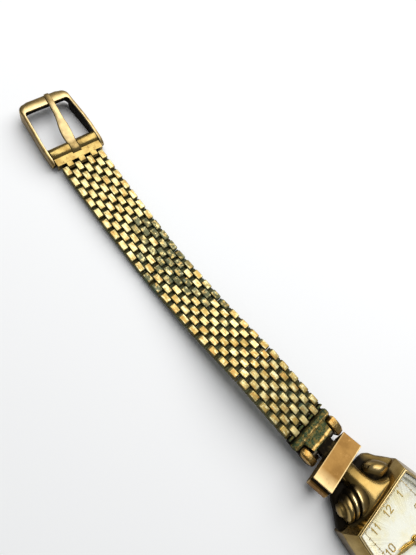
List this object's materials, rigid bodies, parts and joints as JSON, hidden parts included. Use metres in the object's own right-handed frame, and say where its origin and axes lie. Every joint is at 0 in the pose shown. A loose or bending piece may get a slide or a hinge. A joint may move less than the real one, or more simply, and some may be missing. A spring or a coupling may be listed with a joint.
{
  "type": "wristwatch",
  "caption": "Ladies' mechanical wristwatch with a tonneau gold-filled case, hooded scrolled ends, brick-link bracelet, sliding keeper and tang buckle.",
  "frame": {"origin": "centre of the flat case back", "axes": "+Z along the dial's normal, +Y towards 12 o'clock and the buckle half, +X towards 3 o'clock and the crown"},
  "size_m": [0.0191, 0.1787, 0.0066],
  "materials": {
    "case_gold": "polished gold-filled, worn",
    "back_gold": "satin, worn",
    "strap_gold": "satin gold-filled, tarnished in the gaps",
    "link_gold": "corroded with verdigris",
    "keeper_gold": "satin rose gold-filled",
    "buckle_gold": "fine brushed, worn",
    "bright_gold": "polished, worn",
    "crystal": "clear, lightly scratched",
    "dial": "cream, faintly brushed",
    "print": "gilt",
    "hands": "gilt, polished",
    "steel": "polished steel",
    "movement": "gilded plates",
    "jewel": "polished synthetic ruby",
    "blue_steel": "blued steel"
  },
  "bodies": {
    "case": {"case_body": "case_gold", "case_back": "back_gold", "crystal": "crystal", "dial": "dial", "dial_numerals": "print", "lug_pins": "steel", "main_plate": "movement", "barrel_bridge": "movement", "train_bridge": "movement", "balance_cock": "movement", "pallet_bridge": "movement", "jewels": "jewel", "screws": "steel", "click_spring": "steel", "hairspring": "blue_steel"},
    "centre": {"centre_wheel": "movement", "cannon_pinion": "steel", "minute_hand": "hands"},
    "hour": {"hour_wheel": "movement", "hour_hand": "hands"},
    "minute_wheel": {"minute_wheel": "movement"},
    "setting_wheel": {"setting_wheel": "steel"},
    "barrel": {"barrel": "movement", "mainspring": "steel"},
    "ratchet": {"barrel_arbor": "steel", "ratchet_wheel": "steel"},
    "crown_wheel": {"crown_wheel": "steel"},
    "click": {"click": "steel"},
    "third": {"third_wheel": "movement"},
    "fourth": {"fourth_wheel": "movement"},
    "escape": {"escape_wheel": "steel"},
    "pallet": {"pallet_fork": "steel"},
    "balance": {"balance_wheel": "movement"},
    "winding_pinion": {"winding_pinion": "steel"},
    "stem": {"winding_stem": "steel", "crown": "case_gold"},
    "sliding_pinion": {"sliding_pinion": "steel"},
    "setting_lever": {"setting_lever": "steel"},
    "yoke": {"yoke": "steel"},
    "keeper": {"keeper": "keeper_gold"},
    "end_link_12": {"end_link_12": "link_gold"},
    "strap_1": {"strap_1": "strap_gold"},
    "strap_2": {"strap_2": "strap_gold"},
    "strap_3": {"strap_3": "strap_gold"},
    "strap_4": {"strap_4": "strap_gold"},
    "strap_5": {"strap_5": "strap_gold"},
    "buckle_plate": {"buckle_plate": "bright_gold", "buckle_pin": "bright_gold"},
    "buckle_frame": {"buckle_frame": "buckle_gold"},
    "buckle_tang": {"buckle_tang": "bright_gold"},
    "end_link_6": {"end_link_6": "link_gold"},
    "strap_6": {"strap_6": "strap_gold"},
    "strap_7": {"strap_7": "strap_gold"},
    "strap_8": {"strap_8": "strap_gold"},
    "strap_9": {"strap_9": "strap_gold"},
    "strap_10": {"strap_10": "strap_gold"},
    "strap_tip": {"strap_tip": "strap_gold"}
  },
  "joints": [
    {"name": "minute_hand_turn", "type": "hinge", "parent": "case", "child": "centre", "pos_m": [0, 0, 0.003], "axis": [0, 0, -1], "continuous": true},
    {"name": "hour_hand_turn", "type": "hinge", "parent": "case", "child": "hour", "pos_m": [0, 0, 0.0038], "axis": [0, 0, -1], "continuous": true},
    {"name": "minute_wheel_turn", "type": "hinge", "parent": "case", "child": "minute_wheel", "pos_m": [0.00123, -0.00103, 0.0035], "axis": [0, 0, -1], "continuous": true},
    {"name": "setting_wheel_turn", "type": "hinge", "parent": "case", "child": "setting_wheel", "pos_m": [0.0028, 0, 0.0032], "axis": [0, 0, -1], "continuous": true},
    {"name": "barrel_turn", "type": "hinge", "parent": "case", "child": "barrel", "pos_m": [0, 0.00308, 0.002], "axis": [0, 0, -1], "continuous": true},
    {"name": "third_wheel_turn", "type": "hinge", "parent": "case", "child": "third", "pos_m": [-0.00248, -0.0009, 0.002], "axis": [0, 0, -1], "continuous": true},
    {"name": "fourth_wheel_turn", "type": "hinge", "parent": "case", "child": "fourth", "pos_m": [-0.001, -0.00243, 0.002], "axis": [0, 0, -1], "continuous": true},
    {"name": "escape_wheel_turn", "type": "hinge", "parent": "case", "child": "escape", "pos_m": [0.00068, -0.00243, 0.002], "axis": [0, 0, -1], "continuous": true},
    {"name": "pallet_rock", "type": "hinge", "parent": "case", "child": "pallet", "pos_m": [0.00118, -0.0033, 0.0024], "axis": [0, 0, 1], "range_deg": [-6, 6]},
    {"name": "balance_swing", "type": "hinge", "parent": "case", "child": "balance", "pos_m": [0.00193, -0.0046, 0.0018], "axis": [0, 0, 1], "range_deg": [-270, 270], "stiffness_Nm_per_rad": 0.000000008},
    {"name": "crown_turn", "type": "hinge", "parent": "case", "child": "winding_pinion", "pos_m": [0.00442, 0, 0.00205], "axis": [1, 0, 0], "continuous": true},
    {"name": "crown_wheel_turn", "type": "hinge", "parent": "case", "child": "crown_wheel", "pos_m": [0.00303, 0, 0.0007], "axis": [0, 0, 1], "continuous": true},
    {"name": "ratchet_turn", "type": "hinge", "parent": "case", "child": "ratchet", "pos_m": [0, 0.00308, 0.0007], "axis": [0, 0, 1], "continuous": true},
    {"name": "click_lift", "type": "hinge", "parent": "case", "child": "click", "pos_m": [-0.00365, 0.00175, 0.0007], "axis": [0, 0, 1], "range_deg": [0, 8]},
    {"name": "crown_pull", "type": "slide", "parent": "winding_pinion", "child": "stem", "axis": [1, 0, 0], "range_m": [0, 0.0005]},
    {"name": "sliding_pinion_shift", "type": "slide", "parent": "winding_pinion", "child": "sliding_pinion", "axis": [-1, 0, 0], "range_m": [0, 0.0003]},
    {"name": "setting_lever_turn", "type": "hinge", "parent": "case", "child": "setting_lever", "pos_m": [0.00572, -0.00155, 0.0025], "axis": [0, 0, -1], "range_deg": [0, 18.58]},
    {"name": "yoke_turn", "type": "hinge", "parent": "case", "child": "yoke", "pos_m": [0.00398, 0.00175, 0.00205], "axis": [0, 0, -1], "range_deg": [0, 14.79]},
    {"name": "keeper_slide", "type": "slide", "parent": "case", "child": "keeper", "axis": [0, -0.9659, 0.2588], "range_m": [0, 0.0006]},
    {"name": "lug_12", "type": "hinge", "parent": "case", "child": "end_link_12", "pos_m": [0, 0.01895, 0.0032], "axis": [1, 0, 0], "range_deg": [-60, 8]},
    {"name": "strap_1_bend", "type": "hinge", "parent": "end_link_12", "child": "strap_1", "pos_m": [0.00007, 0.02307, 0.00369], "axis": [0.9998, -0.0175, -0.0052], "range_deg": [-30, 20]},
    {"name": "strap_2_bend", "type": "hinge", "parent": "strap_1", "child": "strap_2", "pos_m": [0.00044, 0.03439, 0.00401], "axis": [0.9994, -0.0314, -0.0175], "range_deg": [-30, 20]},
    {"name": "strap_3_bend", "type": "hinge", "parent": "strap_2", "child": "strap_3", "pos_m": [0.00096, 0.04554, 0.00202], "axis": [0.9977, -0.054, -0.0419], "range_deg": [-30, 20]},
    {"name": "strap_4_bend", "type": "hinge", "parent": "strap_3", "child": "strap_4", "pos_m": [0.00173, 0.05679, 0.00088], "axis": [0.9964, -0.0732, -0.0419], "range_deg": [-30, 20]},
    {"name": "strap_5_bend", "type": "hinge", "parent": "strap_4", "child": "strap_5", "pos_m": [0.00277, 0.06807, 0.00117], "axis": [0.9954, -0.0906, -0.0314], "range_deg": [-30, 20]},
    {"name": "buckle_plate_bend", "type": "hinge", "parent": "strap_5", "child": "buckle_plate", "pos_m": [0.00408, 0.07933, 0.00133], "axis": [0.9931, -0.1149, -0.0227], "range_deg": [-30, 20]},
    {"name": "buckle_turn", "type": "hinge", "parent": "buckle_plate", "child": "buckle_frame", "pos_m": [0.0045, 0.08248, 0.00137], "axis": [0.9907, -0.134, -0.0227], "range_deg": [-45, 35]},
    {"name": "tang_lift", "type": "hinge", "parent": "buckle_frame", "child": "buckle_tang", "pos_m": [0.0045, 0.08248, 0.00137], "axis": [0.9907, -0.134, -0.0227], "range_deg": [0, 60]},
    {"name": "lug_6", "type": "hinge", "parent": "case", "child": "end_link_6", "pos_m": [0, -0.01895, 0.0032], "axis": [1, 0, 0], "range_deg": [-8, 60]},
    {"name": "strap_6_bend", "type": "hinge", "parent": "end_link_6", "child": "strap_6", "pos_m": [-0.00004, -0.02307, 0.00269], "axis": [1, -0.0087, 0], "range_deg": [-20, 30]},
    {"name": "strap_7_bend", "type": "hinge", "parent": "strap_6", "child": "strap_7", "pos_m": [-0.00027, -0.03429, 0.00112], "axis": [0.9998, -0.0209, 0], "range_deg": [-20, 30]},
    {"name": "strap_8_bend", "type": "hinge", "parent": "strap_7", "child": "strap_8", "pos_m": [-0.00071, -0.04561, 0.0008], "axis": [0.9993, -0.0384, 0], "range_deg": [-20, 30]},
    {"name": "strap_9_bend", "type": "hinge", "parent": "strap_8", "child": "strap_9", "pos_m": [-0.0013, -0.05693, 0.00076], "axis": [0.9986, -0.0523, 0], "range_deg": [-20, 30]},
    {"name": "strap_10_bend", "type": "hinge", "parent": "strap_9", "child": "strap_10", "pos_m": [-0.00197, -0.06824, 0.00076], "axis": [0.9982, -0.0593, 0], "range_deg": [-20, 30]},
    {"name": "strap_tip_bend", "type": "hinge", "parent": "strap_10", "child": "strap_tip", "pos_m": [-0.00268, -0.07955, 0.00076], "axis": [0.998, -0.0628, 0], "range_deg": [-20, 30]}
  ],
  "couplings": [
    {"joint": "hour_hand_turn", "follows": "minute_hand_turn", "ratio": 0.083333},
    {"joint": "minute_wheel_turn", "follows": "minute_hand_turn", "ratio": -0.33333},
    {"joint": "setting_wheel_turn", "follows": "minute_hand_turn", "ratio": 0.6},
    {"joint": "barrel_turn", "follows": "minute_hand_turn", "ratio": -0.16667},
    {"joint": "third_wheel_turn", "follows": "minute_hand_turn", "ratio": -5},
    {"joint": "fourth_wheel_turn", "follows": "minute_hand_turn", "ratio": 20},
    {"joint": "escape_wheel_turn", "follows": "minute_hand_turn", "ratio": -80},
    {"joint": "crown_wheel_turn", "follows": "crown_turn", "ratio": 0.83333},
    {"joint": "ratchet_turn", "follows": "crown_turn", "ratio": -0.41667},
    {"joint": "sliding_pinion_shift", "follows": "crown_pull", "ratio": 0.6},
    {"joint": "setting_lever_turn", "follows": "crown_pull", "rad_per_m": 645.16},
    {"joint": "yoke_turn", "follows": "crown_pull", "rad_per_m": 512.82}
  ]
}
